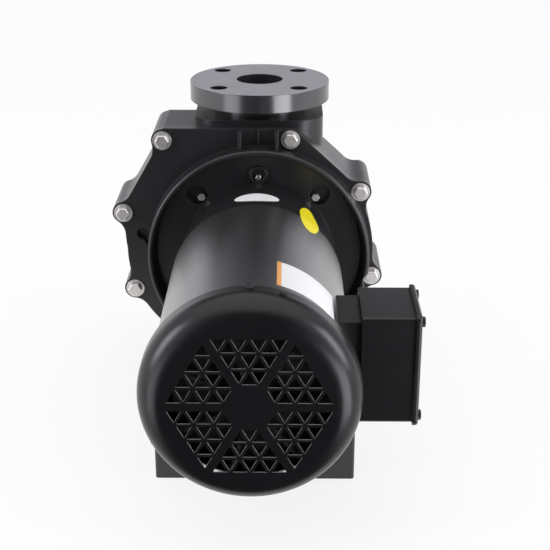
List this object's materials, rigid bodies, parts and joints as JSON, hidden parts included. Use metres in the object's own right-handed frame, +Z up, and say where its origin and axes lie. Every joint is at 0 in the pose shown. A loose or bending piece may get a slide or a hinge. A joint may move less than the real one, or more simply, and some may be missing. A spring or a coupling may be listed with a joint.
{
  "type": "pond pump",
  "caption": "Electric pond pump: fan-cooled motor with a conduit box on a riser, ring bracket and bolted volute casing with flanged suction and discharge.",
  "frame": {"origin": "on the floor below the middle of the motor's four foot holes", "axes": "+Z up; +Y along the shaft from the fan to the suction mouth; +X to the side of the conduit box"},
  "size_m": [0.3072, 0.5469, 0.3269],
  "materials": {
    "casing_plastic": "satin moulded, glass filled",
    "flange_grey": "satin machined",
    "stainless": "brushed",
    "zinc_steel": "zinc plated",
    "black_steel": "black oxide",
    "brass": "turned",
    "rubber": "moulded",
    "ceramic": "lapped",
    "carbon": "carbon, lapped",
    "bearing_steel": "ground",
    "motor_paint": "satin black",
    "cover_paint": "satin black",
    "box_paint": "satin black",
    "bell_aluminium": "cast, painted black",
    "lamination": "varnished steel",
    "copper": "varnished wire",
    "shaft_steel": "ground",
    "fan_plastic": "moulded",
    "impeller_plastic": "glass filled, moulded",
    "riser_plastic": "moulded"
  },
  "bodies": {
    "pump": {"volute_casing": "casing_plastic", "discharge_flange": "flange_grey", "suction_flange": "flange_grey", "motor_bracket": "casing_plastic", "casing_bolts": "stainless", "casing_washers": "stainless", "thread_inserts": "brass", "seal_plate_bolts": "stainless", "face_bolts": "zinc_steel", "vent_screw": "black_steel", "seal_plate": "casing_plastic", "casing_o_ring": "rubber", "seal_seat": "ceramic", "drive_bearing_outer": "bearing_steel", "fan_bearing_outer": "bearing_steel", "motor_shell": "motor_paint", "stator_core": "lamination", "stator_windings": "copper", "drive_end_bell": "bell_aluminium", "fan_end_bell": "bell_aluminium", "through_bolts": "zinc_steel", "fan_cover": "cover_paint", "cover_plug": "rubber", "cover_screws": "black_steel", "motor_foot": "motor_paint", "foot_bolts": "zinc_steel", "base_riser": "riser_plastic", "conduit_neck": "motor_paint", "conduit_box": "box_paint", "lid_gasket": "rubber", "conduit_lid": "box_paint", "lid_screws": "black_steel"},
    "rotor": {"rotor_shaft": "shaft_steel", "rotor_core": "lamination", "cooling_fan": "fan_plastic", "impeller": "impeller_plastic", "impeller_screw": "stainless", "impeller_washer": "stainless", "seal_head": "carbon", "seal_spring": "stainless", "water_slinger": "rubber", "drive_bearing_inner": "bearing_steel", "drive_bearing_balls": "bearing_steel", "fan_bearing_inner": "bearing_steel", "fan_bearing_balls": "bearing_steel"}
  },
  "joints": [
    {"name": "shaft_spin", "type": "hinge", "parent": "pump", "child": "rotor", "pos_m": [0, 0, 0.1539], "axis": [0, 1, 0], "continuous": true}
  ]
}
